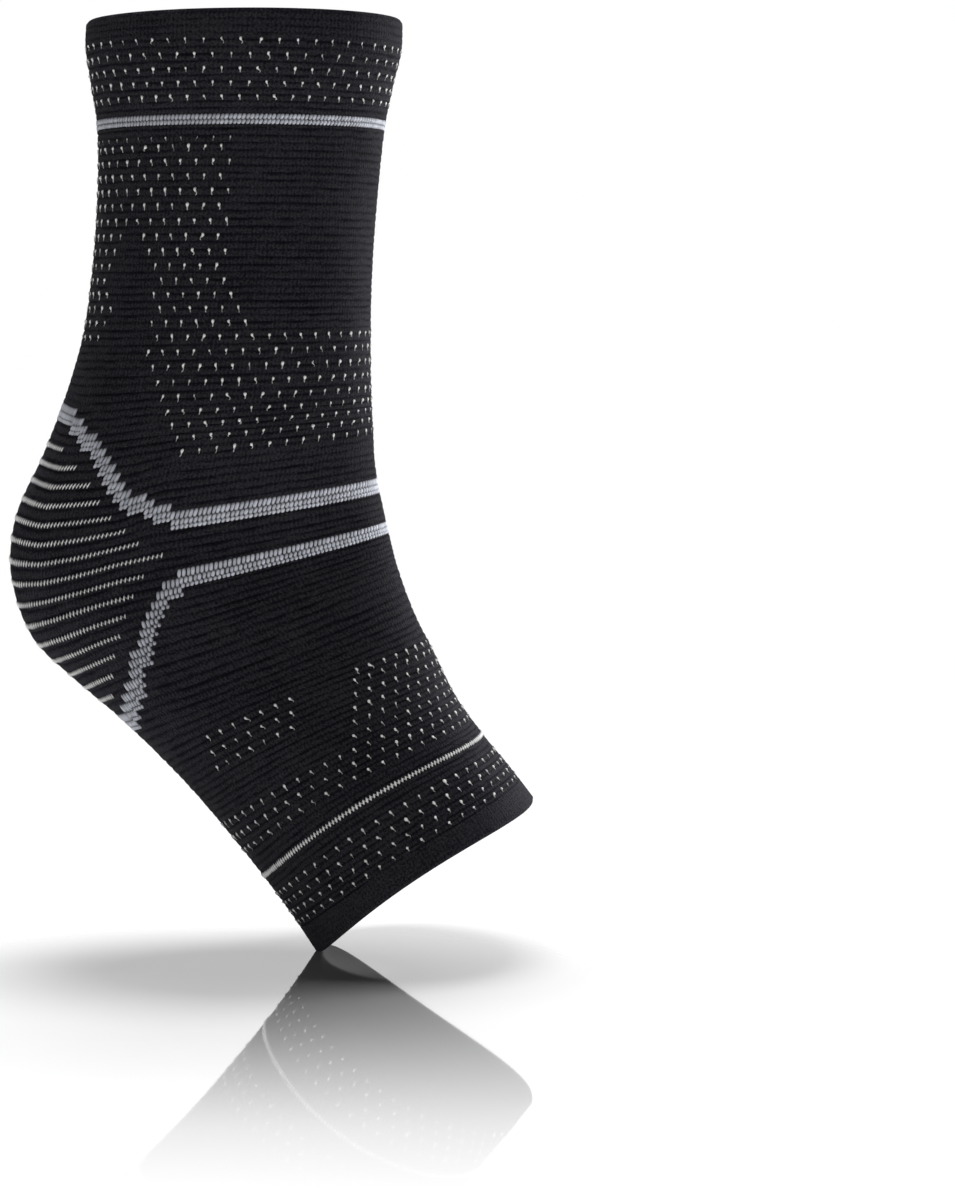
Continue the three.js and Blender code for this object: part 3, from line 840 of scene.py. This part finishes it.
def make_floor():
    """A pale, glossy studio floor under the lowest corner of the toe end. It mirrors less toward the camera and
    in the sleeve's shadow, and far from the sleeve it runs out into plain white."""
    bpy.ops.mesh.primitive_plane_add(size=FLOOR_SIZE, location=(0, 0, KNIT_LOW.z - FLOOR_GAP))
    floor = bpy.context.object
    floor.name = "studio_floor"
    material = bpy.data.materials.new("floor_pale")
    material.use_nodes = True
    nodes, links = material.node_tree.nodes, material.node_tree.links
    nodes.remove(nodes["Principled BSDF"])
    place = nodes.new("ShaderNodeTexCoord").outputs["Object"]
    parts = nodes.new("ShaderNodeSeparateXYZ")
    links.new(place, parts.inputs["Vector"])
    matte = nodes.new("ShaderNodeBsdfDiffuse")
    matte.inputs["Color"].default_value = FLOOR_PAINT
    mirror = nodes.new("ShaderNodeBsdfGlossy")
    mirror.inputs["Roughness"].default_value = MIRROR_ROUGHNESS
    shade = [(SHADE_CORE, grey(SHADE_TONE)), (1, grey(1))]
    mirrored_tone = colour_ramp(nodes, links, shade_distance(nodes, links, place), shade)
    links.new(mirrored_tone, mirror.inputs["Color"])
    white = nodes.new("ShaderNodeEmission")
    away = map_range(nodes, links, parts.outputs["Y"], *MIRROR_FADE)
    gloss = colour_ramp(nodes, links, away, [(0, grey(0)), (1, grey(MIRROR_SHARE))])
    near = mix_shader(nodes, links, gloss, matte.outputs[0], mirror.outputs[0])
    far = map_range(nodes, links, length_of(nodes, links, place), *WHITE_RUN_OUT)
    links.new(mix_shader(nodes, links, far, near, white.outputs[0]), nodes["Material Output"].inputs["Surface"])
    floor.data.materials.append(material)
    return floor


def area_light(name, location, target, size, power):
    """A rectangular softbox that faces its target."""
    data = bpy.data.lights.new(name, "AREA")
    data.shape = "RECTANGLE"
    data.size, data.size_y = size
    data.energy = power
    lamp = bpy.data.objects.new(name, data)
    lamp.location = location
    lamp.rotation_euler = (Vector(target) - Vector(location)).to_track_quat("-Z", "Y").to_euler()
    bpy.context.scene.collection.objects.link(lamp)
    return lamp


def make_world():
    """A white studio, to the eye and in mirrors. The light it gives is brightest low down, on the right and at
    the back. It is dim overhead and on the left."""
    world = bpy.data.worlds.new("studio")
    world.use_nodes = True
    nodes, links = world.node_tree.nodes, world.node_tree.links
    direction = nodes.new("ShaderNodeTexCoord").outputs["Generated"]
    parts = nodes.new("ShaderNodeSeparateXYZ")
    links.new(direction, parts.inputs["Vector"])
    side = weighted_sum(nodes, links, BRIGHT_SIDE, parts.outputs)
    low = colour_ramp(nodes, links, parts.outputs["Z"], [(place, grey(tone)) for place, tone in HEIGHT_TONES])
    sideways = map_range(nodes, links, side, *SIDE_FADE)
    right = colour_ramp(nodes, links, sideways, list(zip((0, 1), map(grey, SIDE_TONES))))
    lighting = nodes["Background"]
    links.new(math_node(nodes, links, "MULTIPLY", low, right), lighting.inputs["Color"])
    seen = nodes.new("ShaderNodeBackground")
    seen.inputs["Color"].default_value = grey(1)
    path = nodes.new("ShaderNodeLightPath")
    direct = math_node(nodes, links, "MAXIMUM", path.outputs["Is Camera Ray"], path.outputs["Is Glossy Ray"])
    shown = mix_shader(nodes, links, direct, lighting.outputs[0], seen.outputs[0])
    links.new(shown, nodes["World Output"].inputs["Surface"])
    bpy.context.scene.world = world


def make_lights(floor):
    """A softbox overhead throws the shadow under the sleeve. One at the right and back lights the front edge of
    the sleeve, and is kept off the floor."""
    make_world()
    area_light("top_softbox", *TOP_SOFTBOX)
    right_softbox = area_light("right_softbox", *RIGHT_SOFTBOX)
    kept_off = bpy.data.collections.new("kept_off")
    kept_off.objects.link(floor)
    right_softbox.light_linking.receiver_collection = kept_off
    kept_off.collection_objects[0].light_linking.link_state = "EXCLUDE"
    scene = bpy.context.scene
    scene.view_settings.view_transform = "Standard"
    scene.view_settings.look = "None"


def make_camera():
    """The camera stands where the photograph was taken from and looks at the middle of its frame."""
    data = bpy.data.cameras.new("camera")
    data.sensor_width = SENSOR
    data.lens = FOCAL_PIXELS * SENSOR / PHOTO_HEIGHT
    camera = bpy.data.objects.new("camera", data)
    camera.location = (
        CAMERA_DISTANCE * math.sin(CAMERA_AZIMUTH),
        -CAMERA_DISTANCE * math.cos(CAMERA_AZIMUTH),
        CAMERA_HEIGHT,
    )
    camera.rotation_euler = (CAMERA_AIM - camera.location).to_track_quat("-Z", "Y").to_euler()
    bpy.context.scene.collection.objects.link(camera)
    bpy.context.scene.camera = camera


dress_sleeve()
make_lights(make_floor())
make_camera()
